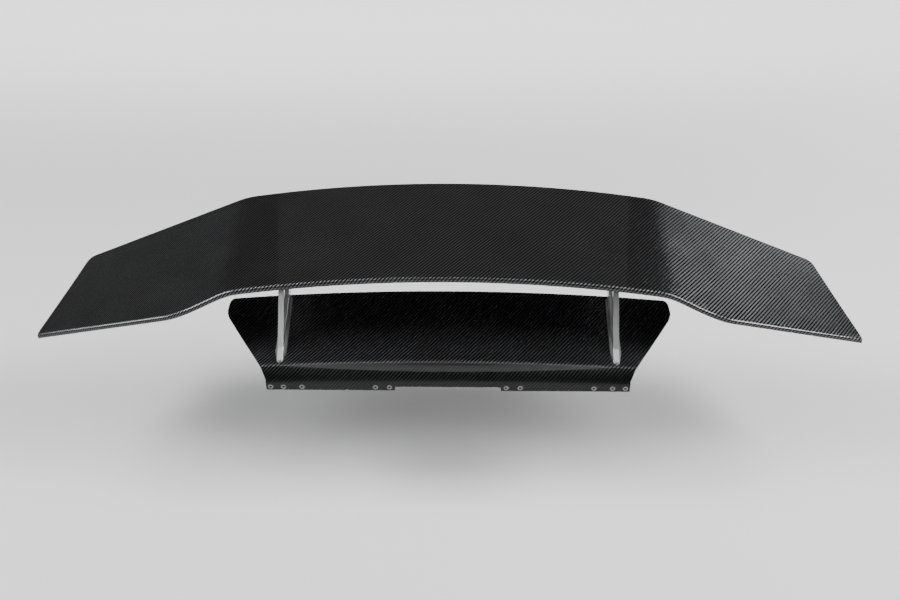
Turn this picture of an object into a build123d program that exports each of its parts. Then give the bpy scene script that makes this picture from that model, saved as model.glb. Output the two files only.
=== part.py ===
from build123d import *
import math
import os

# Racing rear wing: an arched carbon blade with drooped, pointed tips, carried by two
# machined aluminium uprights that stand on an arched carbon ducktail base.
# +X is to the wing's left-right span, +Y towards its trailing edge, +Z up.
# The origin is the middle of the row of threaded inserts, on the front face of the flange.

os.makedirs("parts", exist_ok=True)

# ---------------------------------------------------------------- driving dimensions (mm)
# blade
LE_Y = 73.5                 # leading edge station at the middle
LE_Z = 190.4                # height of the leading edge's lower corner at the middle
TE_Y = 363.5                # trailing edge station, straight in plan
PITCH = 9.9                 # degrees, lower leading corner to trailing edge
ARCH_R = 2570.0             # radius of the arched middle
FOLD_IN, FOLD_OUT = 400.0, 440.0   # the arch turns into the straight droop between these
DROOP = 0.42                # slope of the drooped ends
NOSE_DIP = 13.0             # the leading edge steps forward this much across the fold
RAKE_X = 525.0              # outboard of this the leading edge rakes back
RAKE = 0.29                 # slope of the rake in plan
RAKE_SOFT = 6.0             # how softly the rake starts
NOSE_T = 10.8                # height of the blunt leading edge
BELLY = 13.0                # depth of the belly under the chord line
TE_T = 1.8                  # trailing edge thickness
SKIN = 1.6                  # carbon skin
TIP_EDGE = ((776.4, TE_Y), (829.5, 166.5))   # straight end edge of the blade
TIP_TE_R, TIP_LE_R = 18.0, 4.0

# base
DECK_R = 4600.0             # arch of the deck
BEND_R = 10300.0            # flatter arch of the flange bend
DECK_T = 2.4
FLANGE_LOW, FLANGE_MID = -7.3, 1.5
FLANGE_GAP = 100.8          # half width of the shallow middle of the flange
BEND_Z = 19.5
CREASE = (31.0, 38.2)
DECK_TE = (192.0, 90.8)
DECK_SAG = 4.3
INSERT_X = (111.0, 137.7, 277.7, 313.0, 337.5)
INSERT_BORE, INSERT_BODY, INSERT_HEAD = 2.5, 3.5, 5.0
INSERT_SINK = 0.8           # heads finish flush with the flange

# uprights
UP_X = 323.0
UP_T = 11.0
PIVOT = (157.0, 154.0)
ADJUST = (241.0, 159.0)
ADJ_UP, ADJ_DOWN = 6.0, 4.0   # degrees of blade travel, trailing edge up and down
PIVOT_R, ADJ_R = 4.0, 3.0
FOOT_W = 21.0
FOOT_T = 3.5
GASKET_T = 1.0
GLUE = 0.05                 # bond line left between laminated pieces
CORE_GAP = 0.25             # adhesive film between core and skins
SEAM = 0.16                 # bond line where the two skins meet at the trailing edge
FOOT_BOLT_Y = (72.0, 120.0, 168.0)

# blade brackets
CHEEK_GAP = 0.3
CHEEK_T = 4.0
BRK_T = 6.0
BRK_HALF = 23.0
BRK_Y0, BRK_Y1 = 138.0, 264.0
SCREW_X = 16.0
SCREW_Y = (150.0, 252.0)

TAN_P = math.tan(math.radians(PITCH))


# ---------------------------------------------------------------- helpers
def export(node, *solids):
    """Write one node: a single solid, or a group of separate identical ones."""
    shape = solids[0] if len(solids) == 1 else Compound(children=list(solids))
    shape.label = node
    export_step(shape, os.path.join("parts", node + ".step"))


def one(shape):
    """The single solid inside a boolean result."""
    found = sorted(shape.solids(), key=lambda s: -s.volume)
    return found[0]


def both_sides(solid):
    return [mirror(solid, about=Plane.YZ), solid]


def section(x, rows):
    """Closed wire on the plane X = x. Each row is one edge: its points as (y, z)."""
    edges = []
    for row in rows:
        pts = [(x, y, z) for y, z in row]
        edges.append(Line(*pts) if len(pts) == 2 else Spline(*pts))
    return Wire(edges)


def through(stations, rows_at, ruled=False):
    return Solid.make_loft([section(x, rows_at(x)) for x in stations], ruled=ruled)


def mirrored(half):
    return sorted({-x for x in half} | set(half))


def prism(points, z0, z1, radii=None):
    """Vertical prism on a plan outline, with chosen corners rounded."""
    face = Polygon(*points, align=None)
    for corner, radius in (radii or {}).items():
        near = sorted(face.vertices(), key=lambda v: (v.X - corner[0]) ** 2 + (v.Y - corner[1]) ** 2)
        face = fillet(near[0], radius)
    return extrude(Pos(0, 0, z0) * face, z1 - z0, dir=(0, 0, 1))


def rod(point, axis, start, length, radius):
    plane = Plane(origin=point, z_dir=axis)
    return plane * (Pos(0, 0, start + length / 2) * Cylinder(radius, length))


# ---------------------------------------------------------------- blade surfaces
def blade_drop(x):
    ax = abs(x)
    slope_in = FOLD_IN / ARCH_R
    if ax <= FOLD_IN:
        return ax * ax / (2 * ARCH_R)
    drop = FOLD_IN * FOLD_IN / (2 * ARCH_R)
    width = FOLD_OUT - FOLD_IN
    run = min(ax, FOLD_OUT) - FOLD_IN
    drop += slope_in * run + (DROOP - slope_in) * run * run / (2 * width)
    return drop + DROOP * max(0.0, ax - FOLD_OUT)


def lead_y(x):
    ax = abs(x)
    s = min(1.0, max(0.0, (ax - 390.0) / 115.0))
    soft = RAKE_SOFT
    rake = soft * math.log1p(math.exp((ax - RAKE_X) / soft)) if ax < 800 else ax - RAKE_X
    return LE_Y - NOSE_DIP * s * s * (3 - 2 * s) + RAKE * rake


def blade_top(x, s):
    """Height of the top skin over the pitched chord line at chord fraction s."""
    size = (TE_Y - lead_y(x)) / (TE_Y - LE_Y)
    return NOSE_T * (1 - s) - 5.0 * size * s * (1 - s)


def blade_low(x, s):
    size = (TE_Y - lead_y(x)) / (TE_Y - LE_Y)
    return -TE_T * s - BELLY * size * 3.5 * s * (1 - s) ** 1.6


def blade_point(x, s, v):
    y = lead_y(x) + s * (TE_Y - lead_y(x))
    z = LE_Z - blade_drop(x) + (y - LE_Y) * TAN_P + v
    return (y, z)


def skin_t(x, s, gap):
    half = (blade_top(x, s) - blade_low(x, s)) / 2
    return min(SKIN, half - gap)


CHORD_S = [0.10, 0.22, 0.36, 0.50, 0.64, 0.78, 0.86, 0.91, 0.955, 1.0]
# stations of the arched middle, of one fold with the start of its rake, and of one straight end
MIDDLE_X = mirrored([0.0, 130.0, 260.0, 390.0])
FOLD_X = [390.0 + 10.0 * i for i in range(18)]
END_X = [560.0, 850.0]


def whole_blade(rows_at):
    """One solid over the full span: the middle, then a fold and a straight end on each side."""
    span = through(MIDDLE_X, rows_at)
    for side in (-1, 1):
        span += through([side * x for x in FOLD_X], rows_at)
        span += through([side * x for x in END_X], rows_at, ruled=True)
    return span


def at(x, u, v):
    """Point u behind the leading edge, v over the chord line."""
    return blade_point(x, u / (TE_Y - lead_y(x)), v)


def upper_skin_rows(x):
    lip = [at(x, 3.2, -0.7), at(x, 0.7, 1.2), at(x, 0.0, 4.8), at(x, 0.9, 8.8), at(x, 4.5, NOSE_T)]
    top = [at(x, 4.5, NOSE_T)] + [blade_point(x, s, blade_top(x, s)) for s in CHORD_S]
    inner = [blade_point(x, s, blade_top(x, s) - skin_t(x, s, SEAM / 2)) for s in CHORD_S]
    inner = inner[::-1] + [at(x, 5.2, NOSE_T - SKIN)]
    back = [at(x, 5.2, NOSE_T - SKIN), at(x, 2.5, 7.6), at(x, 1.7, 4.8), at(x, 2.1, 2.0), at(x, 3.6, 0.9)]
    return [lip, top, [top[-1], inner[0]], inner, back, [back[-1], lip[0]]]


def lower_skin_rows(x):
    start = at(x, 3.9, -0.9)
    low = [start] + [blade_point(x, s, blade_low(x, s)) for s in CHORD_S]
    inner = [blade_point(x, s, blade_low(x, s) + skin_t(x, s, SEAM / 2)) for s in CHORD_S][::-1]
    inner += [at(x, 4.3, 0.7)]
    return [low, [low[-1], inner[0]], inner, [inner[-1], start]]


CORE_S = [0.03, 0.10, 0.22, 0.36, 0.50, 0.64, 0.78, 0.84]


def cavity_rows(x):
    gap = SKIN + CORE_GAP
    top = [blade_point(x, s, blade_top(x, s) - gap) for s in CORE_S]
    low = [blade_point(x, s, blade_low(x, s) + gap) for s in CORE_S][::-1]
    return [top, [top[-1], low[0]], low, [low[-1], top[0]]]


def under_rows(x, near, far):
    """Layer lying under the blade between two depths."""
    near_row = [blade_point(x, s, blade_low(x, s) - near) for s in CORE_S[1:-1]]
    far_row = [blade_point(x, s, blade_low(x, s) - far) for s in CORE_S[1:-1]][::-1]
    return [near_row, [near_row[-1], far_row[0]], far_row, [far_row[-1], near_row[0]]]


def blade_under(x, y):
    s = (y - lead_y(x)) / (TE_Y - lead_y(x))
    return blade_point(x, s, blade_low(x, s))[1]


def normal_of(height, x, y):
    d = 0.5
    gx = (height(x + d, y) - height(x - d, y)) / (2 * d)
    gy = (height(x, y + d) - height(x, y - d)) / (2 * d)
    return Vector(-gx, -gy, 1.0).normalized()


# ---------------------------------------------------------------- deck surface
def deck_z(x, y):
    s = (y - CREASE[0]) / (DECK_TE[0] - CREASE[0])
    z = CREASE[1] + (DECK_TE[1] - CREASE[1]) * s - 4 * DECK_SAG * s * (1 - s)
    return z - x * x / (2 * DECK_R)


def deck_row(x, off, y0, y1, n=6):
    """Points parallel to the deck, lifted by off along its slope's normal."""
    pts = []
    for i in range(n):
        y = y0 + (y1 - y0) * i / (n - 1)
        slope = (deck_z(x, y + 0.5) - deck_z(x, y - 0.5))
        k = math.hypot(1, slope)
        pts.append((y - off * slope / k, deck_z(x, y) + off / k))
    return pts


def deck_layer_rows(x, low, high, y0=CREASE[0] + 1, y1=DECK_TE[0] + 6):
    top = deck_row(x, high, y0, y1)
    bottom = deck_row(x, low, y0, y1)[::-1]
    return [top, [top[-1], bottom[0]], bottom, [bottom[-1], top[0]]]


def base_rows(x):
    bend = BEND_Z - x * x / (2 * BEND_R)
    cy, cz = CREASE[0], CREASE[1] - x * x / (2 * DECK_R)
    t = DECK_T
    rise = cz - bend
    face = [(-0.3, FLANGE_LOW), (-0.3, bend - 3.6)]
    roll = [(-0.3, bend - 3.6), (0.8, bend - 1.2), (3.2, bend)]
    fair = [(3.2, bend), (12.5, bend + 0.24 * rise), (22.5, bend + 0.58 * rise), (cy, cz)]
    deck = deck_row(x, 0, cy, DECK_TE[0])
    under = deck_row(x, -t, cy + 0.9, DECK_TE[0])[::-1]
    back = [under[-1], (23.6, bend + 0.58 * rise - t), (13.3, bend + 0.24 * rise - t), (4.6, bend - t)]
    heel = [back[-1], (3.0, bend - 3.4), (t, bend - 6.0)]
    rear = [(t, bend - 6.0), (t, FLANGE_LOW)]
    foot = [(t, FLANGE_LOW), (-0.3, FLANGE_LOW)]
    return [face, roll, fair, deck, [deck[-1], under[0]], under, back, heel, rear, foot]


DECK_X = mirrored([0, 120, 240, 350, 450])


def rounded_cut(x, hw, z0, z1):
    block = Pos(x, 0, (z0 + z1) / 2) * Box(2 * hw, 20, z1 - z0)
    top = [e for e in block.edges().filter_by(Axis.Y) if e.center().Z > (z0 + z1) / 2]
    return fillet(top, 4.0)


# plan outline of the base: flange, hollow sides, widest just before the rear corners
SIDE = [(346.0, -6.0), (346.0, 3.0), (357.0, 26.0), (373.0, 52.0), (438.0, 150.0), (443.0, 163.0),
        (439.0, DECK_TE[0] + 0.4)]
ROUND = {SIDE[2]: 30.0, SIDE[5]: 24.0, SIDE[6]: 13.0}
outline = SIDE + [(-x, y) for x, y in SIDE[::-1]]
corner_r = {(sg * x, y): r for (x, y), r in ROUND.items() for sg in (-1, 1)}
base_plan = prism(outline, -60, 150, corner_r)

deck = through(DECK_X, base_rows) & base_plan
deck -= Pos(0, -10, 0) * Box(1000, 20, 200)      # the flange's front face is dead flat
deck -= rounded_cut(0, FLANGE_GAP, FLANGE_LOW - 10, FLANGE_MID)
insert_at = [Plane(origin=(s * x, 0, 0), z_dir=(0, 1, 0)) for s in (-1, 1) for x in INSERT_X]
for place in insert_at:
    deck -= place * Cylinder(INSERT_BODY + 0.05, 30)
    deck -= place * Cylinder(INSERT_HEAD + 0.05, 2 * INSERT_SINK)

# ---------------------------------------------------------------- feet, gaskets, backing plates
RX = [UP_X - 40, UP_X - 15, UP_X + 15, UP_X + 40]


def deck_layer(low, high):
    return through(RX, lambda x: deck_layer_rows(x, low, high))


def deck_block(high):
    """Everything below a surface lying at a height over the deck."""
    def rows(x):
        top = deck_row(x, high, 18.0, 205.0)
        (ya, _), (yb, _) = top[0], top[-1]
        return [top, [top[-1], (yb, -60.0)], [(yb, -60.0), (ya, -60.0)], [(ya, -60.0), top[0]]]
    return through(RX, rows)


def boat(half, y0, y1, z0=-60, z1=150):
    pts = [(UP_X, y0), (UP_X + half * 0.62, y0 + 9), (UP_X + half, y0 + 27), (UP_X + half, y1 - 6),
           (UP_X + half - 6, y1), (UP_X - half + 6, y1), (UP_X - half, y1 - 6), (UP_X - half, y0 + 27),
           (UP_X - half * 0.62, y0 + 9)]
    soft = {pts[1]: 14.0, pts[-1]: 14.0, pts[2]: 20.0, pts[-2]: 20.0, pts[3]: 3.0, pts[-3]: 3.0}
    return prism(pts, z0, z1, soft)


bolt_spots = []
for y in FOOT_BOLT_Y:
    n = normal_of(deck_z, UP_X, y)
    bolt_spots.append((Vector(UP_X, y, deck_z(UP_X, y)), n))

PLATE_LOW = -DECK_T - GLUE - 3.0
gasket = deck_layer(GLUE, GASKET_T) & boat(FOOT_W / 2, 33.5, 187.0)
foot = deck_layer(GASKET_T - 4, GASKET_T + FOOT_T) & boat(FOOT_W / 2, 33.5, 187.0)
plate_plan = prism([(UP_X - 16, 52), (UP_X + 16, 52), (UP_X + 16, 183), (UP_X - 16, 183)], -60, 150,
                   {(UP_X + sx * 16.0, yy): 8.0 for sx in (-1, 1) for yy in (52, 183)})
backing = deck_layer(PLATE_LOW, -DECK_T - GLUE) & plate_plan

# ---------------------------------------------------------------- upright
FRONT_SLOPE = math.tan(math.radians(52.1))


def front_y(z, inset=0.0):
    """Station of the upright's raked front edge at height z."""
    return 46.8 + (z - 31.1) / FRONT_SLOPE + inset


(py, pz), (qy, qz) = PIVOT, ADJUST
radius_pq = math.hypot(qy - py, qz - pz)
angle_pq = math.degrees(math.atan2(qz - pz, qy - py))


def yz_face(points, radii):
    face = Polygon(*points, align=None)
    for i, radius in radii.items():
        near = sorted(face.vertices(), key=lambda v: (v.X - points[i][0]) ** 2 + (v.Y - points[i][1]) ** 2)
        face = fillet(near[0], radius)
    return face


body_pts = [(37.5, 10.0), (37.5, 31.8), (front_y(48.0), 48.0), (front_y(pz + 2), pz + 2),
            (py - 2, pz + 11.0), (qy - 6, qz + 17.0),
            (qy + 12.5, qz + 12.5), (qy + 12.5, qz - 8.0), (196.5, 84.5), (186.0, 70.0), (186.0, 10.0)]
body_face = yz_face(body_pts, {2: 16.0, 3: 8.0, 4: 10.0, 5: 8.0, 6: 8.0, 7: 9.0, 8: 5.0})
window_pts = [(front_y(57.0, 13.0), 57.0), (171.0, 91.0), (211.5, 142.0), (front_y(135.0, 13.0), 135.0)]
body_face -= yz_face(window_pts, {0: 2.5, 1: 6.0, 2: 6.0, 3: 6.0})
slab = extrude(Plane.YZ.offset(UP_X - UP_T / 2) * body_face, UP_T, dir=(1, 0, 0))
slab = chamfer(slab.faces().sort_by(Axis.X)[0].edges() + slab.faces().sort_by(Axis.X)[-1].edges(), 0.7)

bore_axis = (1, 0, 0)
BUSH_R = 5.5
slab -= rod((UP_X, *PIVOT), bore_axis, -20, 40, BUSH_R)
SLOT_HALF = ADJ_R + 0.3
slot = SlotArc(
    CenterArc((py, pz), radius_pq, angle_pq - ADJ_DOWN - 0.3, ADJ_UP + ADJ_DOWN + 0.6), 2 * SLOT_HALF)
slab -= extrude(Plane.YZ.offset(UP_X - 20) * slot, 40, dir=(1, 0, 0))
upright = (slab + foot) - deck_block(GASKET_T + GLUE)
for spot, n in bolt_spots:
    upright -= rod(spot, n, -5, 22, 3.0)
    gasket -= rod(spot, n, -10, 30, 3.3)
    backing -= rod(spot, n, -20, 40, 3.3)
    cut = rod(spot, n, -10, 20, 3.3)
    deck -= [cut, mirror(cut, about=Plane.YZ)]

bush = rod((UP_X, *PIVOT), bore_axis, -UP_T / 2, UP_T, BUSH_R - 0.01)
bush -= rod((UP_X, *PIVOT), bore_axis, -20, 40, PIVOT_R + 0.04)

# ---------------------------------------------------------------- fasteners
def cap_screw(shank_r, length, head_r, head_h, key):
    """Socket screw, head below z = 0 and shank going up."""
    head = Pos(0, 0, -head_h / 2) * Cylinder(head_r, head_h)
    head = chamfer(head.edges().sort_by(Axis.Z)[0], 0.5)
    head -= Pos(0, 0, -head_h) * extrude(RegularPolygon(key / 2, 6, major_radius=False), head_h * 0.55)
    return head + Pos(0, 0, length / 2) * Cylinder(shank_r, length)


def ring(outer, inner, height):
    return Pos(0, 0, height / 2) * (Cylinder(outer, height) - Cylinder(inner, height * 3))


def nut(flats, bore, height):
    body = extrude(RegularPolygon(flats / 2, 6, major_radius=False), height)
    return body - Pos(0, 0, height / 2) * Cylinder(bore, height * 3)


def placed(solid, point, axis, lift=0.0):
    return Plane(origin=point, z_dir=axis) * (Pos(0, 0, lift) * solid)


WASH = 1.2
foot_bolts, foot_washers = [], []
for spot, n in bolt_spots:
    seat = PLATE_LOW - 0.1
    foot_washers += both_sides(placed(ring(6.0, 3.2, WASH), spot, n, seat - WASH))
    foot_bolts += both_sides(placed(cap_screw(2.95, 22.0, 5.0, 6.0, 5.0), spot, n, seat - WASH - 0.02))

insert_prof = [(INSERT_BORE, 0.0), (INSERT_HEAD, 0.0), (INSERT_HEAD, INSERT_SINK - 0.02),
               (INSERT_BODY, INSERT_SINK - 0.02),
               (INSERT_BODY, DECK_T + 0.02), (INSERT_BODY + 1.1, DECK_T + 0.02), (INSERT_BODY + 1.1, DECK_T + 1.2),
               (INSERT_BODY, DECK_T + 2.6), (INSERT_BODY, 11.0), (INSERT_BORE, 11.0)]
insert_body = revolve(Plane.XZ * Polygon(*insert_prof, align=None), Axis.Z)
inserts = [place * insert_body for place in insert_at]

# ---------------------------------------------------------------- blade
def blade_plan(inset):
    """Plan outline of the blade, its end edges moved in by inset."""
    x0, x1 = TIP_EDGE[0][0] - inset, TIP_EDGE[1][0] - inset
    back = TE_Y + 0.25
    half = [(x0, back), (x1, TIP_EDGE[1][1]), (x1 + 2.0, 155.0), (x1 + 2.0, 20.0)]
    pts = half + [(-x, y) for x, y in half[::-1]]
    soft = {(sg * x0, back): TIP_TE_R for sg in (-1, 1)}
    soft.update({(sg * x1, TIP_EDGE[1][1]): TIP_LE_R for sg in (-1, 1)})
    return prism(pts, -120, 330, soft)


outer_plan = blade_plan(0.0)
upper = whole_blade(upper_skin_rows) & outer_plan
lower = whole_blade(lower_skin_rows) & outer_plan
cavity = whole_blade(cavity_rows)
SPAR_Y0, SPAR_Y1 = 130.5, 134.5
inner_plan = blade_plan(12.0)
tips = (cavity & outer_plan) - inner_plan
core = cavity & blade_plan(12.0 + GLUE)
spar = core & Pos(0, (SPAR_Y0 + SPAR_Y1) / 2, 100) * Box(1300, SPAR_Y1 - SPAR_Y0, 500)
core -= Pos(0, (SPAR_Y0 + SPAR_Y1) / 2, 100) * Box(2000, SPAR_Y1 - SPAR_Y0 + 2 * GLUE, 500)
front_core = core & Pos(0, SPAR_Y0 / 2, 100) * Box(2000, SPAR_Y0, 500)
rear_core = core & Pos(0, SPAR_Y1 + 150, 100) * Box(2000, 300, 500)

HARD_HALF, HARD_Y0, HARD_Y1 = 24.0, 138.0, 264.0
hard_box = Pos(UP_X, (HARD_Y0 + HARD_Y1) / 2, 150) * Box(2 * HARD_HALF, HARD_Y1 - HARD_Y0, 200)
pocket = Pos(UP_X, (HARD_Y0 + HARD_Y1) / 2, 150) * Box(2 * HARD_HALF + 0.2, HARD_Y1 - HARD_Y0 + 0.2, 200)
hard = cavity & hard_box
rear_core -= [pocket, mirror(pocket, about=Plane.YZ)]

BX = [UP_X - 40, UP_X - 14, UP_X + 14, UP_X + 40]


def under_layer(near, far):
    return through(BX, lambda x: under_rows(x, near, far))


brk_plan = prism([(UP_X - BRK_HALF, BRK_Y0), (UP_X + BRK_HALF, BRK_Y0), (UP_X + BRK_HALF, BRK_Y1),
                  (UP_X - BRK_HALF, BRK_Y1)], 0, 300,
                 {(UP_X + sg * BRK_HALF, yy): 6.0 for sg in (-1, 1) for yy in (BRK_Y0, BRK_Y1)})
bracket = under_layer(0.3, BRK_T) & brk_plan
cheek_pts = [(BRK_Y0 + 3, pz + 30), (py - 12.0, pz - 2), (py - 4.0, pz - 11.5), (py + 10.0, pz - 9.5),
             (qy - 12.0, qz - 9.0), (qy + 6, qz - 10.5), (qy + 12.5, qz), (BRK_Y1 - 3, qz + 40)]
cheek_face = yz_face(cheek_pts, {1: 9.0, 2: 7.0, 4: 8.0, 5: 8.0, 6: 8.0})
ceiling = under_layer(-60, 3.0)
for start in (-UP_T / 2 - CHEEK_GAP - CHEEK_T, UP_T / 2 + CHEEK_GAP):
    cheek = extrude(Plane.YZ.offset(UP_X + start) * cheek_face, CHEEK_T, dir=(1, 0, 0)) - ceiling
    bracket += cheek
bracket -= rod((UP_X, *PIVOT), bore_axis, -40, 80, PIVOT_R + 0.02)
bracket -= rod((UP_X, *ADJUST), bore_axis, -40, 80, ADJ_R + 0.02)

screws = []
for sx in (-SCREW_X, SCREW_X):
    for y in SCREW_Y:
        x = UP_X + sx
        n = normal_of(blade_under, x, y)
        spot = Vector(x, y, blade_under(x, y))
        hole = rod(spot, n, -20, 24, 2.7)
        bracket -= hole
        lower -= [hole, mirror(hole, about=Plane.YZ)]
        hard -= rod(spot, n, -2, 9.4, 2.5)
        screws += both_sides(placed(cap_screw(2.45, 12.9, 4.25, 5.0, 4.0), spot, n, -BRK_T - 0.12))

stack = UP_T / 2 + CHEEK_GAP + CHEEK_T


def cross_bolt(point, radius, head_r, head_h, flats):
    """Bolt, washers and nut across one upright: head on the outer side."""
    out = (UP_X + stack, *point)
    inn = (UP_X - stack, *point)
    washers = [placed(ring(head_r + 1.5, radius + 0.2, WASH), out, (1, 0, 0), 0.02),
               placed(ring(head_r + 1.5, radius + 0.2, WASH), inn, (-1, 0, 0), 0.02)]
    bolt = placed(cap_screw(radius, 2 * stack + 2 * WASH + 0.1 + 10.0, head_r, head_h, head_r), out, (-1, 0, 0),
                  -WASH - 0.04)
    fixing = placed(nut(flats, radius + 0.02, radius * 1.8), inn, (-1, 0, 0), WASH + 0.04)
    return bolt, washers, fixing


pivot_bolt, pivot_washers, pivot_nut = cross_bolt(PIVOT, PIVOT_R, 6.5, 7.0, 13.0)
adj_bolt, adj_washers, adj_nut = cross_bolt(ADJUST, ADJ_R, 5.0, 5.5, 10.0)

# hat-section rail laminated under the rear of the deck, between the backing plates
HAT_X = mirrored([0, 100, 200, 296])


def hat_layer(low, high, y0, y1):
    return through(HAT_X, lambda x: deck_layer_rows(x, low, high, y0, y1))


seat = -DECK_T - GLUE
hat = hat_layer(seat - 1.5, seat, 138, 184) + hat_layer(seat - 13, seat, 149, 173)
hat -= hat_layer(seat - 11.4, seat + 3, 150.6, 171.4)

# ---------------------------------------------------------------- export
export("base_deck", one(deck))
export("base_hat_rail", one(hat))
export("flange_inserts", *inserts)
for name, solid in (("upright", upright), ("foot_gasket", gasket), ("backing_plate", backing),
                    ("pivot_bush", bush), ("hardpoint", hard), ("blade_bracket", bracket)):
    left, right = both_sides(one(solid))
    export(name + "_left", left)
    export(name + "_right", right)
export("foot_bolts", *foot_bolts)
export("foot_washers", *foot_washers)
export("blade_upper_skin", one(upper))
export("blade_lower_skin", one(lower))
export("blade_core_front", one(front_core))
export("blade_core_rear", one(rear_core))
export("blade_spar", one(spar))
tip_left, tip_right = sorted(sorted(tips.solids(), key=lambda s: -s.volume)[:2], key=lambda s: s.center().X)
export("tip_rib_left", tip_left)
export("tip_rib_right", tip_right)
export("bracket_screws", *screws)
export("pivot_bolts", *both_sides(pivot_bolt))
export("pivot_nuts", *both_sides(pivot_nut))
export("pivot_washers", *[w for p in pivot_washers for w in both_sides(p)])
export("adjuster_bolts", *both_sides(adj_bolt))
export("adjuster_nuts", *both_sides(adj_nut))
export("adjuster_washers", *[w for p in adj_washers for w in both_sides(p)])
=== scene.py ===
import functools
import math

import bmesh
import bpy
import numpy as np
from mathutils import Matrix, Vector


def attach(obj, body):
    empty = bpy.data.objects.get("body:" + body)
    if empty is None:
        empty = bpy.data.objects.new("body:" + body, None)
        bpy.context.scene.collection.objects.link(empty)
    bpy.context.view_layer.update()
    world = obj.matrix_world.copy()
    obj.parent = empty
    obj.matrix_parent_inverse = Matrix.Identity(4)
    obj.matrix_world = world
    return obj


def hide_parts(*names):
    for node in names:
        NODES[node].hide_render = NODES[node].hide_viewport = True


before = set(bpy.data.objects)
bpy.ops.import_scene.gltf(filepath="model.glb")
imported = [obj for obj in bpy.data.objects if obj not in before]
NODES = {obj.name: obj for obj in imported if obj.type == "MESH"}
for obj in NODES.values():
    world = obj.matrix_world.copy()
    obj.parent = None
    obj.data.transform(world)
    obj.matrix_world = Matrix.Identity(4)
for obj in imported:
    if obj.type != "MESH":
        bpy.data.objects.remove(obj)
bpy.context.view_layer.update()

MM = 0.001

# ------------------------------------------------------------------ design numbers, mm
LE_Y, LE_Z, TE_Y = 73.5, 190.4, 363.5
TAN_P = math.tan(math.radians(9.9))
ARCH_R, FOLD_IN, FOLD_OUT, DROOP = 2570.0, 400.0, 440.0, 0.42
DIP_X, DIP_RUN, NOSE_DIP = 390.0, 115.0, 13.0      # where the leading edge steps forward, and how far
RAKE_X, RAKE, RAKE_SOFT = 525.0, 0.29, 6.0         # where it is swept back, the sweep, the softening
NOSE_T, CROWN, BELLY, TE_T, SKIN = 10.8, 5.0, 13.0, 1.8, 1.6
BELLY_SHAPE, BELLY_POWER = 3.5, 1.6
TE_LIP = 0.25                 # the end edge is drawn this far past the trailing edge
TIP_A, TIP_B, TIP_R = (776.4, TE_Y + TE_LIP), (829.5, 166.5), 18.0   # end edge, rear corner radius
TIP_END = (831.5, 155.0)      # the end edge turns straight forward here
DECK_R, BEND_R, DECK_T = 4600.0, 10300.0, 2.4
FLANGE_LOW, FLANGE_MID, FLANGE_GAP, BEND_Z = -7.3, 1.5, 100.8, 19.5
CREASE, DECK_TE, DECK_SAG = (31.0, 38.2), (192.0, 90.8), 4.3
INSERT_X = (111.0, 137.7, 277.7, 313.0, 337.5)
TOW = 1.98             # tow width of the 2x2 twill, mm
# turn of the cloth in degrees, extra turn of the right-hand end, where that comes in, its centre line
CLOTH_TURN, CLOTH_EXTRA, CLOTH_PULL, CLOTH_Y = 5.0, 4.0, (150.0, 430.0), 220.0
SHARP_EDGE = math.radians(38)      # edges sharper than this are not shaded smooth


# ------------------------------------------------------------------ shape formulas
def blade_drop(x):
    ax = np.abs(x)
    s0 = FOLD_IN / ARCH_R
    run = np.clip(ax - FOLD_IN, 0, FOLD_OUT - FOLD_IN)
    inner = np.minimum(ax, FOLD_IN) ** 2 / (2 * ARCH_R)
    fold = s0 * run + (DROOP - s0) * run * run / (2 * (FOLD_OUT - FOLD_IN))
    return inner + fold + DROOP * np.maximum(0, ax - FOLD_OUT)


def lead_y(x):
    ax = np.abs(x)
    s = np.clip((ax - DIP_X) / DIP_RUN, 0, 1)
    rake = RAKE_SOFT * np.logaddexp(0, (ax - RAKE_X) / RAKE_SOFT)
    return LE_Y - NOSE_DIP * s * s * (3 - 2 * s) + RAKE * rake


def size_at(x):
    return (TE_Y - lead_y(x)) / (TE_Y - LE_Y)


def blade_top(x, s):
    return NOSE_T * (1 - s) - CROWN * size_at(x) * s * (1 - s)


def blade_low(x, s):
    return -TE_T * s - BELLY * size_at(x) * BELLY_SHAPE * s * (1 - s) ** BELLY_POWER


def smooth_line(pts, per):
    """Catmull-Rom curve through points, per samples a span."""
    p = np.array(pts, float)
    ext = np.vstack([2 * p[0] - p[1], p, 2 * p[-1] - p[-2]])
    out = []
    for i in range(1, len(ext) - 2):
        a, b, c, d = ext[i - 1], ext[i], ext[i + 1], ext[i + 2]
        for t in np.arange(per) / per:
            out.append(0.5 * (2 * b + (c - a) * t + (2 * a - 5 * b + 4 * c - d) * t * t
                              + (3 * b - a - 3 * c + d) * t ** 3))
    return np.array(out + [p[-1]])


def tip_x(y):
    """X of the blade's end edge at station y, its rear corner rounded."""
    dx, dy = TIP_B[0] - TIP_A[0], TIP_B[1] - TIP_A[1]
    norm = math.hypot(dx, dy)
    nx, ny = dy / norm, -dx / norm
    line = lambda yy: TIP_A[0] + (yy - TIP_A[1]) * dx / dy
    cy = TE_Y + TE_LIP - TIP_R
    cx = line(cy - TIP_R * ny) + TIP_R * nx
    tangent = cy - TIP_R * ny
    arc = cx + np.sqrt(np.maximum(0.0, TIP_R ** 2 - (y - cy) ** 2))
    front = np.interp(y, (TIP_END[1], TIP_B[1]), (TIP_END[0], TIP_B[0]))
    return np.where(y > tangent, arc, np.where(y < TIP_B[1], front, line(y)))


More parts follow.
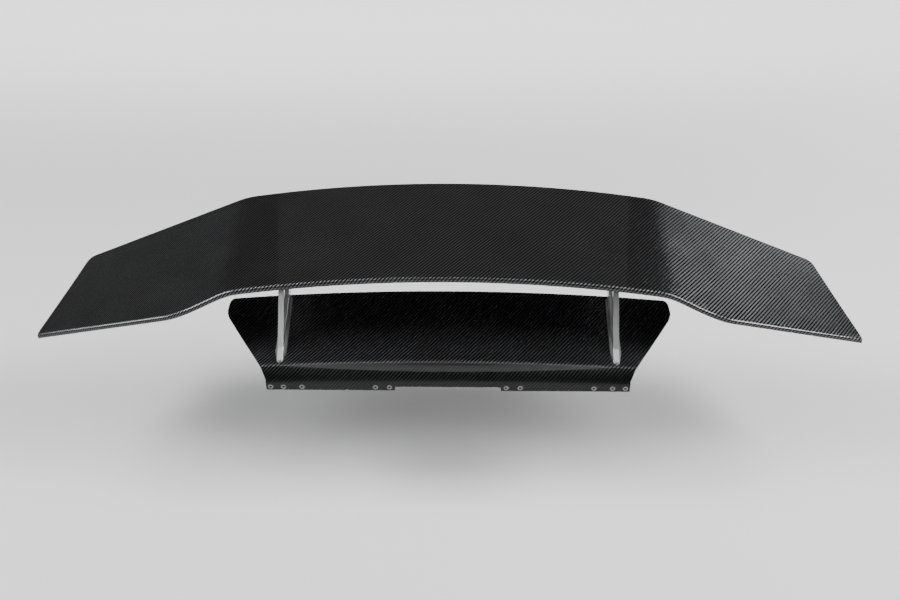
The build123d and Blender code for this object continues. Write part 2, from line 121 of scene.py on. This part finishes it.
def grid_mesh(name, outer, inner, uv_outer, uv_inner, body, stand_for):
    """Closed thin shell from two matching grids of points (stations x rows x 3), mm."""
    n, m, _ = outer.shape
    verts = np.vstack([outer.reshape(-1, 3), inner.reshape(-1, 3)]) * MM
    uvs = np.vstack([uv_outer.reshape(-1, 2), uv_inner.reshape(-1, 2)]) * MM
    off = n * m
    idx = lambda i, j: i * m + j
    faces = []
    for i in range(n - 1):
        for j in range(m - 1):
            q = (idx(i, j), idx(i + 1, j), idx(i + 1, j + 1), idx(i, j + 1))
            faces.append(q)
            faces.append(tuple(off + k for k in reversed(q)))
        for j in (0, m - 1):
            a, b = idx(i, j), idx(i + 1, j)
            rim = (a, a + off, b + off, b)
            faces.append(rim if j == 0 else rim[::-1])
    for j in range(m - 1):
        for i in (0, n - 1):
            a, b = idx(i, j), idx(i, j + 1)
            rim = (a, b, b + off, a + off)
            faces.append(rim if i == 0 else rim[::-1])
    me = bpy.data.meshes.new(name)
    me.from_pydata([tuple(v) for v in verts], [], faces)
    layer = me.uv_layers.new(name="cloth")
    loops = np.empty(len(me.loops), dtype=np.int32)
    me.loops.foreach_get("vertex_index", loops)
    layer.data.foreach_set("uv", uvs[loops].astype(np.float32).ravel())
    me.update()
    bm = bmesh.new()
    bm.from_mesh(me)
    bmesh.ops.recalc_face_normals(bm, faces=bm.faces)
    for f in bm.faces:
        f.smooth = True
    for e in bm.edges:
        if len(e.link_faces) == 2 and e.calc_face_angle(0) > SHARP_EDGE:
            e.smooth = False
    bm.to_mesh(me)
    bm.free()
    ob = bpy.data.objects.new(name, me)
    bpy.context.scene.collection.objects.link(ob)
    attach(ob, body)
    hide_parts(*stand_for)
    return ob


# ------------------------------------------------------------------ blade skins
NOSE_OUT = smooth_line([(3.2, -0.7), (0.7, 1.2), (0.0, 4.8), (0.9, 8.8), (4.5, NOSE_T)], 4)
NOSE_IN = smooth_line([(3.6, 0.9), (2.1, 2.0), (1.7, 4.8), (2.5, 7.6), (5.2, NOSE_T - SKIN)], 4)
S_ROWS = np.concatenate([np.linspace(0.03, 0.93, 26), [0.95, 0.965, 0.978, 0.988, 0.995, 1.0]])
# stations along one half: closer over the fold and where the rake starts; T_TIP runs on to the end edge
X_MAIN = np.concatenate([np.arange(0, 384, 8), np.arange(384, 460, 3.2), np.arange(460, 502, 5),
                         np.arange(502, 552, 2.0), np.arange(552, 641, 8)])
T_TIP = np.linspace(0, 1, 34)[1:]
END_GUESS, END_ROUNDS = 700.0, 30      # for finding where a row meets the end edge
CLOTH_SPAN, CLOTH_STEPS = 860, 3441    # reach and sampling of the cloth's turn along the span


def blade_points(u_of, v_of, rows):
    """Grid over the whole span: u_of and v_of give row k's place behind and over the chord line."""
    cols = []
    for side in (-1, 1):
        half = []
        for k in range(rows):
            x = X_MAIN
            end = END_GUESS
            for _ in range(END_ROUNDS):
                y = float(lead_y(end) + u_of(end, k))
                end = 0.5 * end + 0.5 * float(tip_x(y))
            x = np.concatenate([x, X_MAIN[-1] + (end - X_MAIN[-1]) * T_TIP])
            y = lead_y(x) + u_of(x, k)
            z = LE_Z - blade_drop(x) + (y - LE_Y) * TAN_P + v_of(x, k)
            half.append(np.stack([side * x, y, z], 1))
        cols.append(np.stack(half, 1))
    left, right = cols
    return np.concatenate([left[:0:-1], right], 0)


def cloth_uv(pts, anchor_row):
    """Cloth coordinates: girth along the span, and length over the section from the anchor row."""
    d = np.linalg.norm(np.diff(pts, axis=1), axis=2)
    length = np.concatenate([np.zeros((pts.shape[0], 1)), np.cumsum(d, 1)], 1)
    length -= length[:, anchor_row:anchor_row + 1]
    v = length + pts[:, anchor_row, 1][:, None] / math.cos(math.atan(TAN_P))
    xs = np.linspace(-CLOTH_SPAN, CLOTH_SPAN, CLOTH_STEPS)
    girth = np.concatenate([[0], np.cumsum(np.hypot(np.diff(xs), np.diff(blade_drop(xs))))])
    # the cloth lies a few degrees off square, and is pulled round further on the right-hand end
    pull = np.clip((xs - CLOTH_PULL[0]) / (CLOTH_PULL[1] - CLOTH_PULL[0]), 0, 1)
    turn = np.radians(CLOTH_TURN + CLOTH_EXTRA * pull * pull * (3 - 2 * pull))
    middle = len(xs) // 2
    along = np.concatenate([[0], np.cumsum(np.cos(turn[1:]) * np.diff(girth))])
    sweep = np.concatenate([[0], np.cumsum(np.sin(turn[1:]) * np.diff(girth))])
    here = np.interp(pts[..., 0], xs, turn)
    v -= CLOTH_Y
    u = np.interp(pts[..., 0], xs, along - along[middle]) + v * np.sin(here)
    v = v * np.cos(here) - np.interp(pts[..., 0], xs, sweep - sweep[middle])
    return np.stack([u, v + CLOTH_Y], 2)


def skin_t(x, s, gap=0.08):
    """Skin thickness, thinned where the two skins would meet."""
    return np.minimum(SKIN, (blade_top(x, s) - blade_low(x, s)) / 2 - gap)


def upper_out_u(x, k):
    n = len(NOSE_OUT)
    return NOSE_OUT[k, 0] + 0 * x if k < n else S_ROWS[k - n] * (TE_Y - lead_y(x))


def upper_out_v(x, k):
    n = len(NOSE_OUT)
    return NOSE_OUT[k, 1] + 0 * x if k < n else blade_top(x, S_ROWS[k - n])


def upper_in_u(x, k):
    n = len(NOSE_IN)
    return NOSE_IN[k, 0] + 0 * x if k < n else S_ROWS[k - n] * (TE_Y - lead_y(x))


def upper_in_v(x, k):
    n = len(NOSE_IN)
    return NOSE_IN[k, 1] + 0 * x if k < n else blade_top(x, S_ROWS[k - n]) - skin_t(x, S_ROWS[k - n])


def lower_out_u(x, k):
    return 3.9 + 0 * x if k == 0 else S_ROWS[k - 1] * (TE_Y - lead_y(x))


def lower_out_v(x, k):
    return -0.9 + 0 * x if k == 0 else blade_low(x, S_ROWS[k - 1])


def lower_in_u(x, k):
    return 4.3 + 0 * x if k == 0 else S_ROWS[k - 1] * (TE_Y - lead_y(x))


def lower_in_v(x, k):
    return 0.7 + 0 * x if k == 0 else blade_low(x, S_ROWS[k - 1]) + skin_t(x, S_ROWS[k - 1])


n_up = len(NOSE_OUT) + len(S_ROWS)
up_out = blade_points(upper_out_u, upper_out_v, n_up)
up_in = blade_points(upper_in_u, upper_in_v, n_up)
anchor = len(NOSE_OUT) - 1
upper = grid_mesh("blade_upper", up_out, up_in, cloth_uv(up_out, anchor), cloth_uv(up_in, anchor),
                  "blade", ["blade_upper_skin"])
n_low = 1 + len(S_ROWS)
low_out = blade_points(lower_out_u, lower_out_v, n_low)
low_in = blade_points(lower_in_u, lower_in_v, n_low)
lower = grid_mesh("blade_lower", low_out, low_in, cloth_uv(low_out, 0), cloth_uv(low_in, 0),
                  "blade", ["blade_lower_skin"])

# ------------------------------------------------------------------ base moulding
DECK_LIP = 0.4        # the plan is drawn this far past the trailing edge
STRAIGHT, FAN = 0.7, 0.3      # shares of the half width where the columns run straight back and fan out
# plan of the right-hand side (x, y) and the radius of each rounded corner
SIDE = [(346.0, -10.0), (346.0, 3.0), (357.0, 26.0), (373.0, 52.0), (438.0, 150.0), (443.0, 163.0),
        (439.0, DECK_TE[0] + DECK_LIP), (300.0, DECK_TE[0] + DECK_LIP)]
SIDE_R = {2: 30.0, 5: 24.0, 6: 13.0}


def rounded_line(pts, radii, per=14):
    """Polyline with some of its corners turned into arcs."""
    out = []
    for k, p in enumerate(pts):
        if k not in radii:
            out.append(p)
            continue
        p, a, b = (np.array(q, float) for q in (p, pts[k - 1], pts[k + 1]))
        d0, d1 = (a - p) / np.linalg.norm(a - p), (b - p) / np.linalg.norm(b - p)
        half = math.acos(float(np.clip(d0 @ d1, -1, 1))) / 2
        centre = p + (d0 + d1) / np.linalg.norm(d0 + d1) * radii[k] / math.sin(half)
        start = p + d0 * radii[k] / math.tan(half) - centre
        stop = p + d1 * radii[k] / math.tan(half) - centre
        a0, a1 = math.atan2(start[1], start[0]), math.atan2(stop[1], stop[0])
        turn = (a1 - a0 + math.pi) % (2 * math.pi) - math.pi
        for t in np.linspace(0, 1, per):
            out.append((centre[0] + radii[k] * math.cos(a0 + turn * t),
                        centre[1] + radii[k] * math.sin(a0 + turn * t)))
    return np.array(out)


SIDE_LINE = rounded_line(SIDE, SIDE_R)
DECK_ROWS = np.concatenate([np.linspace(CREASE[0] + 0.7, 178.0, 27),
                            [180.5, 183.0, 185.0, 187.0, 188.7, 190.0, 191.0, 191.6, 192.0]])


def deck_z(x, y):
    s = (y - CREASE[0]) / (DECK_TE[0] - CREASE[0])
    z = CREASE[1] + (DECK_TE[1] - CREASE[1]) * s - 4 * DECK_SAG * s * (1 - s)
    return z - x * x / (2 * DECK_R)


@functools.lru_cache(maxsize=None)
def deck_section(x):
    """Matching outer and inner (y, z) rows from the flange's lower edge to the trailing edge."""
    bend = BEND_Z - x * x / (2 * BEND_R)
    cy, cz = CREASE[0], CREASE[1] - x * x / (2 * DECK_R)
    rise = cz - bend
    t = DECK_T
    face = [(0.0, FLANGE_LOW + (bend - 3.5 - FLANGE_LOW) * k / 5) for k in range(6)]
    face_in = [(t, FLANGE_LOW + (bend - 6.0 - FLANGE_LOW) * k / 5) for k in range(6)]
    roll = smooth_line([(0, bend - 3.5), (0.9, bend - 1.2), (3.2, bend)], 4)[1:]
    roll_in = smooth_line([(t, bend - 6.0), (3.0, bend - 3.4), (4.6, bend - t)], 4)[1:]
    fair = smooth_line([(3.2, bend), (12.5, bend + 0.24 * rise), (22.5, bend + 0.58 * rise),
                        (cy - 0.7, cz - 0.75)], 5)[1:]
    fair_in = smooth_line([(4.6, bend - t), (13.3, bend + 0.24 * rise - t),
                           (23.6, bend + 0.58 * rise - t), (cy + 0.6, cz - t - 0.7)], 5)[1:]
    deck, deck_in = [], []
    for y in DECK_ROWS:
        slope = float(deck_z(x, y + 0.5) - deck_z(x, y - 0.5))
        n = math.hypot(1, slope)
        deck.append((y, float(deck_z(x, y))))
        deck_in.append((min(DECK_TE[0] + DECK_LIP, y + t * slope / n), float(deck_z(x, y)) - t / n))
    out = np.vstack([face, roll, fair, deck])
    inn = np.vstack([face_in, roll_in, fair_in, deck_in])
    return out, inn


def deck_profile(x, row=None):
    out, inn = deck_section(round(x, 3))
    return (out, inn) if row is None else (out[row], inn[row])


def deck_grid():
    """Grid over the whole base: straight columns in the middle, fanning out to the sides."""
    across = np.linspace(-1, 1, 261)
    stations = deck_profile(0.0)[0][:, 0]
    out = np.empty((len(across), len(stations), 3))
    inn = np.empty_like(out)
    middle = STRAIGHT * SIDE[0][0]
    for j, y in enumerate(stations):
        edge = np.interp(y, SIDE_LINE[:-1, 1], SIDE_LINE[:-1, 0])
        for i, a in enumerate(across):
            far = max(0.0, abs(a) - STRAIGHT) / FAN
            x = math.copysign(min(abs(a), STRAIGHT) * SIDE[0][0] + far * (edge - middle), a)
            o, q = deck_profile(x, j)
            out[i, j] = (x, *o)
            inn[i, j] = (x, *q)
    return out, inn


d_out, d_in = deck_grid()
row_step = np.linalg.norm(np.diff(d_out[..., 1:], axis=1), axis=2)
run_back = np.concatenate([np.zeros((d_out.shape[0], 1)), np.cumsum(row_step, 1)], 1)
d_uv = np.stack([d_out[..., 0], run_back], 2)
swing = math.radians(CLOTH_TURN)
d_uv = d_uv @ np.array([[math.cos(swing), -math.sin(swing)], [math.sin(swing), math.cos(swing)]])
deck = grid_mesh("base_moulding", d_out, d_in, d_uv, d_uv, "base", ["base_deck"])


INSERT_HOLES = ((3.56, -3.0, 8.0), (5.06, -3.0, 0.8))     # radius, from y, to y: body, then head


def cutter_mesh():
    """The stepped holes that seat the threaded inserts in the flange."""
    bm = bmesh.new()
    turn = Matrix.Rotation(math.radians(90), 4, "X")
    for sx in (-1, 1):
        for x in INSERT_X:
            for r, y0, y1 in INSERT_HOLES:
                place = Matrix.Translation((sx * x * MM, (y0 + y1) / 2 * MM, 0)) @ turn
                bmesh.ops.create_cone(bm, cap_ends=True, segments=48, radius1=r * MM, radius2=r * MM,
                                      depth=(y1 - y0) * MM, matrix=place)
    me = bpy.data.meshes.new("cut_holes")
    bm.to_mesh(me)
    bm.free()
    return me


NOTCH_Y = (-4.0, 7.5)


def notch_mesh():
    """The shallow middle of the flange, its upper corners rounded."""
    r, top, bottom = 4.0, FLANGE_MID, -15.0
    outline = [(-FLANGE_GAP, bottom)]
    for c, a0 in ((-FLANGE_GAP + r, 180), (FLANGE_GAP - r, 90)):
        for k in range(9):
            t = math.radians(a0 - 90 * k / 8)
            outline.append((c + r * math.cos(t), top - r + r * math.sin(t)))
    outline.append((FLANGE_GAP, bottom))
    bm = bmesh.new()
    front = [bm.verts.new((x * MM, NOTCH_Y[0] * MM, z * MM)) for x, z in outline]
    back = [bm.verts.new((x * MM, NOTCH_Y[1] * MM, z * MM)) for x, z in outline]
    bm.faces.new(front)
    bm.faces.new(back[::-1])
    n = len(front)
    for i in range(n):
        bm.faces.new((front[(i + 1) % n], front[i], back[i], back[(i + 1) % n]))
    bmesh.ops.recalc_face_normals(bm, faces=bm.faces)
    me = bpy.data.meshes.new("cut_notch")
    bm.to_mesh(me)
    bm.free()
    return me


def cut(ob, me):
    """Cuts a mesh out of an object for good."""
    tool = bpy.data.objects.new("cut_tool", me)
    bpy.context.scene.collection.objects.link(tool)
    mod = ob.modifiers.new("cut", "BOOLEAN")
    mod.operation, mod.solver, mod.object, mod.use_self = "DIFFERENCE", "EXACT", tool, True
    bpy.context.view_layer.update()
    done = bpy.data.meshes.new_from_object(ob.evaluated_get(bpy.context.evaluated_depsgraph_get()))
    ob.modifiers.clear()
    old = ob.data
    ob.data = done
    done.name = old.name + "_cut"
    bpy.data.objects.remove(tool)
    bpy.data.meshes.remove(old)


cut(deck, notch_mesh())
cut(deck, cutter_mesh())


# ------------------------------------------------------------------ material helpers
PAINTED_LIGHT_DECK, PAINTED_SHADE_NOSE, PAINTED_SHADE_FLANGE = 1.30, 0.12, 0.14   # painted light: the cloth's colour scaled by position on the base, painted shade on nose and flange, brighter on the deck
NOSE_PAINTED_SHEEN = 0.022      # painted sheen: an even grey reflection added to the upper nose
NOSE_EDGE, DECK_EDGE = (0.0148, 0.0162), (0.0295, 0.0325)     # where one painted zone of the base changes to the next, m
NOSE_BOW = 0.15         # how the edge of the painted reflection on the nose bows back towards the ends, 1/m


class Nodes:
    """A small wrapper that adds and links shader nodes."""

    def __init__(self, name):
        self.mat = bpy.data.materials.new(name)
        self.mat.use_nodes = True
        self.tree = self.mat.node_tree
        self.tree.nodes.clear()
        self.out = self.tree.nodes.new("ShaderNodeOutputMaterial")

    def node(self, kind, **props):
        n = self.tree.nodes.new("ShaderNode" + kind)
        for key, value in props.items():
            setattr(n, key, value)
        return n

    def link(self, a, b):
        self.tree.links.new(a, b)

    def put(self, socket, value):
        if hasattr(value, "is_output") or isinstance(value, bpy.types.NodeSocket):
            self.link(value, socket)
        else:
            socket.default_value = value

    def math(self, op, a, b=0.0, c=0.0):
        n = self.node("Math", operation=op)
        for s, v in zip(n.inputs, (a, b, c)):
            self.put(s, v)
        return n.outputs[0]

    def mix(self, fac, a, b):
        n = self.node("Mix", data_type="RGBA")
        self.put(n.inputs["Factor"], fac)
        self.put(n.inputs["A"], a)
        self.put(n.inputs["B"], b)
        return n.outputs["Result"]

    def noise(self, vector, scale, detail=3.0, rough=0.5):
        n = self.node("TexNoise")
        n.inputs["Scale"].default_value = scale
        n.inputs["Detail"].default_value = detail
        n.inputs["Roughness"].default_value = rough
        self.link(vector, n.inputs["Vector"])
        return n.outputs["Fac"]

    def scaled(self, vector, scale):
        n = self.node("Mapping")
        n.inputs["Scale"].default_value = scale
        self.link(vector, n.inputs["Vector"])
        return n.outputs["Vector"]

    def range(self, value, a, b, c, d):
        n = self.node("MapRange")
        self.link(value, n.inputs["Value"])
        for key, v in zip(("From Min", "From Max", "To Min", "To Max"), (a, b, c, d)):
            n.inputs[key].default_value = v
        return n.outputs["Result"]

    def bump(self, height, strength, distance):
        n = self.node("Bump")
        n.inputs["Strength"].default_value = strength
        n.inputs["Distance"].default_value = distance
        self.link(height, n.inputs["Height"])
        return n.outputs["Normal"]

    def shader(self, **values):
        n = self.node("BsdfPrincipled")
        for key, value in values.items():
            self.put(n.inputs[key.replace("_", " ")], value)
        self.link(n.outputs[0], self.out.inputs["Surface"])
        return n


def rgb(r, g=None, b=None):
    return (r, r if g is None else g, r if b is None else b, 1.0)


def base_painted_light(m):
    """Painted light on the base moulding: its cloth colour scaled by position (painted shade on nose and
    flange, brighter on the deck), and a painted sheen added on its nose.
    """
    sep = m.node("SeparateXYZ")
    m.link(m.node("TexCoord").outputs["Object"], sep.inputs[0])
    x, y = sep.outputs[0], sep.outputs[1]
    bow = m.math("MULTIPLY", m.math("MULTIPLY", x, x), NOSE_BOW)
    # painted shade: flange and nose get a dimmed cloth colour, the deck a brightened one
    nose = m.range(m.math("SUBTRACT", y, bow), *NOSE_EDGE, PAINTED_SHADE_FLANGE, PAINTED_SHADE_NOSE)
    deck_part = m.range(y, *DECK_EDGE, 0.0, 1.0)
    in_nose = m.math("SUBTRACT", 1.0, deck_part)
    # painted sheen on the upper nose, its lower edge bowed like a reflection
    painted_nose_sheen = m.range(m.math("SUBTRACT", y, bow), *NOSE_EDGE, 0.0, NOSE_PAINTED_SHEEN)
    return (m.math("ADD", m.math("MULTIPLY", nose, in_nose), m.math("MULTIPLY", deck_part, PAINTED_LIGHT_DECK)),
            m.math("MULTIPLY", painted_nose_sheen, in_nose))


TOW_ROUND, TOW_DIP, FIBRE_TILT = 0.62, 0.2, 0.6
# both tow families are the same fibre: the weft is painted near black and the warp grey, painted shade
# and painted reflection for glints that catch one family only
WARP_LIT_COLOUR, WEFT_SHADED_COLOUR, GRAZING_TINT = rgb(0.085, 0.087, 0.090), rgb(0.004, 0.0042, 0.0045), rgb(0.38)


def twill(name, space="uv", gloss=True, painted_light_fn=None):
    """2x2 twill carbon cloth: tows two over, two under, under a clear coat."""
    m = Nodes(name)
    if space == "uv":
        coord = m.node("UVMap", uv_map="cloth").outputs["UV"]
    else:
        coord = m.node("TexCoord").outputs["Object"]
    mapping = m.node("Mapping")
    k = 1000.0 / TOW
    mapping.inputs["Scale"].default_value = (k, k, k)
    m.link(coord, mapping.inputs["Vector"])
    sep = m.node("SeparateXYZ")
    m.link(mapping.outputs[0], sep.inputs[0])
    a, b = sep.outputs[0], sep.outputs[1]
    i, j = m.math("FLOOR", a), m.math("FLOOR", b)
    fa, fb = m.math("SUBTRACT", a, i), m.math("SUBTRACT", b, j)
    step = m.math("FLOORED_MODULO", m.math("SUBTRACT", i, j), 4.0)
    weft = m.math("GREATER_THAN", step, 1.5)
    second = m.math("FLOORED_MODULO", step, 2.0)
    second = m.math("GREATER_THAN", second, 0.5)
    first = m.math("SUBTRACT", 1.0, second)
    pick = lambda p, q: m.math("ADD", m.math("MULTIPLY", q, weft),
                               m.math("MULTIPLY", p, m.math("SUBTRACT", 1.0, weft)))
    across = pick(fa, fb)
    along = m.math("MULTIPLY", pick(m.math("ADD", fb, first), m.math("ADD", fa, second)), 0.5)
    # fine filaments along each tow, then the tow's rounded back and its dip at each end
    fib_v = m.node("CombineXYZ")
    m.put(fib_v.inputs[0], m.math("MULTIPLY", pick(a, b), 9.0))
    m.put(fib_v.inputs[1], m.math("MULTIPLY", pick(b, a), 0.35))
    m.put(fib_v.inputs[2], m.math("MULTIPLY", weft, 7.0))
    fib = m.noise(fib_v.outputs[0], 1.0, 2.0, 0.6)
    tilt_across = m.math("ADD", m.math("MULTIPLY", m.math("SUBTRACT", across, 0.5), TOW_ROUND),
                         m.math("MULTIPLY", m.math("SUBTRACT", fib, 0.5), FIBRE_TILT))
    tilt_along = m.math("MULTIPLY", m.math("SUBTRACT", along, 0.5), TOW_DIP)
    nx, ny = pick(tilt_across, tilt_along), pick(tilt_along, tilt_across)
    col = m.node("CombineXYZ")
    m.put(col.inputs[0], m.math("MULTIPLY_ADD", nx, 0.5, 0.5))
    m.put(col.inputs[1], m.math("MULTIPLY_ADD", ny, 0.5, 0.5))
    col.inputs[2].default_value = 1.0
    if space == "uv":
        nrm = m.node("NormalMap", space="TANGENT", uv_map="cloth")
    else:
        nrm = m.node("NormalMap", space="OBJECT")
    m.link(col.outputs[0], nrm.inputs["Color"])
    # dark gaps between tows, and a slow change of tone over the cloth
    edge = m.math("ABSOLUTE", m.math("SUBTRACT", across, 0.5))
    gap = m.range(edge, 0.42, 0.5, 1.0, 0.6)
    big = m.noise(m.scaled(coord, (9.0, 9.0, 9.0)), 1.0, 2.0)
    tone = m.math("MULTIPLY", gap, m.range(big, 0.3, 0.7, 0.86, 1.14))
    tone = m.math("MULTIPLY", tone, m.range(fib, 0.25, 0.75, 0.75, 1.25))
    painted_sheen = 0.0
    # painted light on the base: the colour is scaled by position, and a painted sheen is added
    if painted_light_fn:
        strength, painted_sheen = painted_light_fn(m)
        tone = m.math("MULTIPLY", tone, strength)
    # painted shade: the weft's near-black colour stands in for its missing glints
    base = m.mix(weft, WARP_LIT_COLOUR, WEFT_SHADED_COLOUR)
    vec = m.node("VectorMath", operation="SCALE")
    m.link(base, vec.inputs[0])
    m.put(vec.inputs["Scale"], tone)
    # adds the painted sheen to the base's colour
    if painted_light_fn:
        even = m.node("CombineXYZ")
        for socket in even.inputs:
            m.put(socket, painted_sheen)
        total = m.node("VectorMath", operation="ADD")
        m.link(vec.outputs[0], total.inputs[0])
        m.link(even.outputs[0], total.inputs[1])
        vec = total
    args = dict(Base_Color=vec.outputs[0], Metallic=1.0, Specular_Tint=GRAZING_TINT,
                Normal=nrm.outputs[0])
    if gloss:
        rough = m.noise(m.scaled(coord, (160.0, 160.0, 160.0)), 1.0, 3.0)
        args.update(Roughness=m.range(rough, 0.3, 0.7, 0.30, 0.38), Coat_Weight=1.0, Coat_Roughness=0.04,
                    Coat_IOR=1.29)
    else:
        args.update(Roughness=0.5)
    m.shader(**args)
    return m.mat


def aluminium(name, tint=0.54, rough=(0.30, 0.42)):
    """Machined aluminium with cutter lines and a light blasted grain."""
    m = Nodes(name)
    coord = m.node("TexCoord").outputs["Object"]
    fine = m.noise(m.scaled(coord, (2600.0, 2600.0, 2600.0)), 1.0, 2.0)
    cutter = m.noise(m.scaled(coord, (900.0, 60.0, 900.0)), 1.0, 3.0)
    cloud = m.noise(m.scaled(coord, (22.0, 22.0, 22.0)), 1.0, 3.0)
    height = m.math("ADD", m.math("MULTIPLY", fine, 0.6), m.math("MULTIPLY", cutter, 0.6))
    base = m.mix(m.range(cloud, 0.3, 0.7, 0.0, 1.0), rgb(tint * 0.93, tint * 0.935, tint * 0.945),
                 rgb(tint, tint, tint * 1.005))
    m.shader(Base_Color=base, Metallic=1.0, Roughness=m.range(cutter, 0.3, 0.7, *rough),
             Normal=m.bump(height, 0.25, 0.00006))
    return m.mat


def steel(name, tint=(0.42, 0.42, 0.41), rough=(0.18, 0.32)):
    """Plated or bare small metal parts with a fine grain."""
    m = Nodes(name)
    coord = m.node("TexCoord").outputs["Object"]
    grain = m.noise(m.scaled(coord, (1500.0, 1500.0, 1500.0)), 1.0, 3.0)
    cloud = m.noise(m.scaled(coord, (120.0, 120.0, 120.0)), 1.0, 2.0)
    base = m.mix(cloud, rgb(*tint), rgb(*[c * 0.82 for c in tint]))
    m.shader(Base_Color=base, Metallic=1.0, Roughness=m.range(grain, 0.3, 0.7, *rough),
             Normal=m.bump(grain, 0.12, 0.00004))
    return m.mat


def matt(name, dark, light, rough=0.75, scale=900.0, depth=0.00008):
    """Rubber and foam: a matt grain between two tones."""
    m = Nodes(name)
    coord = m.node("TexCoord").outputs["Object"]
    grain = m.noise(m.scaled(coord, (scale, scale, scale)), 1.0, 4.0)
    m.shader(Base_Color=m.mix(grain, rgb(*dark), rgb(*light)), Roughness=rough,
             Normal=m.bump(grain, 0.4, depth))
    return m.mat


CARBON = twill("carbon_twill_gloss")
CARBON_BASE = twill("carbon_twill_base", painted_light_fn=base_painted_light)
CARBON_EDGE = twill("carbon_twill_edge", space="object")
CARBON_BARE = twill("carbon_twill_bare", space="object", gloss=False)
ALU = aluminium("aluminium_satin")
ALU_DARK = aluminium("aluminium_bracket", tint=0.38)
STEEL = steel("steel_zinc")
STEEL_DARK = steel("steel_blackened", tint=(0.20, 0.20, 0.20), rough=(0.16, 0.26))
BRONZE = steel("bronze_bush", tint=(0.62, 0.42, 0.2), rough=(0.25, 0.4))
RUBBER = matt("rubber_gasket", (0.012, 0.012, 0.012), (0.03, 0.03, 0.031))
FOAM = matt("foam_core", (0.62, 0.5, 0.3), (0.75, 0.64, 0.42), rough=0.9, scale=1400.0)

PAINT = {
    "base_hat_rail": CARBON_BARE, "blade_spar": CARBON_BARE,
    "tip_rib": CARBON_EDGE, "blade_core": FOAM,
    "upright": ALU, "backing_plate": ALU, "hardpoint": ALU, "blade_bracket": ALU_DARK,
    "foot_gasket": RUBBER, "pivot_bush": BRONZE,
    "flange_inserts": STEEL_DARK, "foot_": STEEL, "bracket_screws": STEEL,
    "pivot_": STEEL, "adjuster_": STEEL,
}


def paint(ob, mat):
    ob.data.materials.clear()
    ob.data.materials.append(mat)


for node_name, ob in sorted(NODES.items()):
    for prefix, mat in PAINT.items():
        if node_name.startswith(prefix):
            for k in range(max(1, len(ob.material_slots))):
                if ob.material_slots:
                    ob.material_slots[k].link = "OBJECT"
                    ob.material_slots[k].material = mat
            break
for ob in (upper, lower):
    paint(ob, CARBON)
paint(deck, CARBON_BASE)

# ------------------------------------------------------------------ stage, lights, camera
FLOOR_Z = -0.30


def plain(name, colour, rough):
    """Studio paper with a faint unevenness."""
    m = Nodes(name)
    coord = m.node("TexCoord").outputs["Object"]
    n = m.noise(m.scaled(coord, (3.0, 3.0, 3.0)), 1.0, 2.0)
    m.shader(Base_Color=m.mix(n, rgb(colour), rgb(colour * 0.985)), Roughness=rough)
    return m.mat


bpy.ops.mesh.primitive_plane_add(size=40, location=(0, 4, FLOOR_Z))
floor = bpy.context.object
floor.name = "floor"
paint(floor, plain("floor_paper", 0.9, 0.9))


def area(name, loc, target, size, power, spread=180):
    """A rectangular lamp at loc that faces target; size in metres, power in watts, spread in degrees."""
    light = bpy.data.lights.new(name, "AREA")
    light.shape = "RECTANGLE"
    light.size, light.size_y = size
    light.energy = power
    light.spread = math.radians(spread)
    ob = bpy.data.objects.new(name, light)
    ob.location = loc
    ob.rotation_euler = (Vector(target) - Vector(loc)).to_track_quat("-Z", "Y").to_euler()
    bpy.context.scene.collection.objects.link(ob)
    return ob


area("side_left", (-3.4, -0.4, 4.0), (0, 0.2, 0), (1.8, 1.8), 200)
area("side_right", (3.4, -0.4, 4.0), (0, 0.2, 0), (1.8, 1.8), 200)
area("top_front", (0.0, -1.75, 4.15), (0, 0, 0), (5.0, 1.7), 27)
area("front", (-0.5, -3.4, 2.9), (0, 0, 0.1), (1.2, 0.9), 11)
area("rear_right", (2.52, 2.57, 0.38), (0.6, 0.25, 0.05), (0.6, 0.6), 6.0, spread=60)
area("rear_left", (-2.52, 2.57, 0.38), (-0.5, 0.25, 0.05), (0.6, 0.6), 0.5, spread=60)
area("edge_left", (-3.85, -0.2, 1.65), (-0.6, 0.2, 0.0), (0.9, 0.6), 6, spread=60)
area("edge_right", (3.85, -0.2, 1.65), (0.6, 0.2, 0.0), (0.9, 0.6), 10, spread=60)
area("rear_panel", (0.0, 2.5, 3.4), (0, 0.2, 0.2), (3.4, 1.8), 4)
area("backdrop", (0.0, 3.6, 3.4), (0, 3.6, FLOOR_Z), (9.0, 3.2), 130, spread=30)

world = bpy.data.worlds.new("studio")
bpy.context.scene.world = world
world.use_nodes = True
world.node_tree.nodes["Background"].inputs[0].default_value = (1.0, 1.0, 1.0, 1.0)
world.node_tree.nodes["Background"].inputs[1].default_value = 0.20

ELEV, YAW = math.radians(35.0), math.radians(0.55)
FOCAL, WIDTH, HEIGHT, SENSOR = 1050.0, 900, 600, 36.0     # lens and frame in frame units, sensor in mm
DIST = 1.9974
ORIGIN_AT = (447.8, 387.7)         # where the part's origin stands in the frame
fwd = Vector((-math.sin(YAW) * math.cos(ELEV), math.cos(YAW) * math.cos(ELEV), -math.sin(ELEV)))
right = Vector((math.cos(YAW), math.sin(YAW), 0.0))
up = right.cross(fwd)
eye = -(fwd * DIST + right * ((ORIGIN_AT[0] - WIDTH / 2) * DIST / FOCAL)
        + up * ((HEIGHT / 2 - ORIGIN_AT[1]) * DIST / FOCAL))
cam = bpy.data.cameras.new("camera")
cam.sensor_width = SENSOR
cam.lens = FOCAL / WIDTH * SENSOR
cam.clip_end = 100.0
cam_ob = bpy.data.objects.new("camera", cam)
cam_ob.matrix_world = Matrix.Translation(eye) @ Matrix((right, up, -fwd)).transposed().to_4x4()
bpy.context.scene.collection.objects.link(cam_ob)
bpy.context.scene.camera = cam_ob
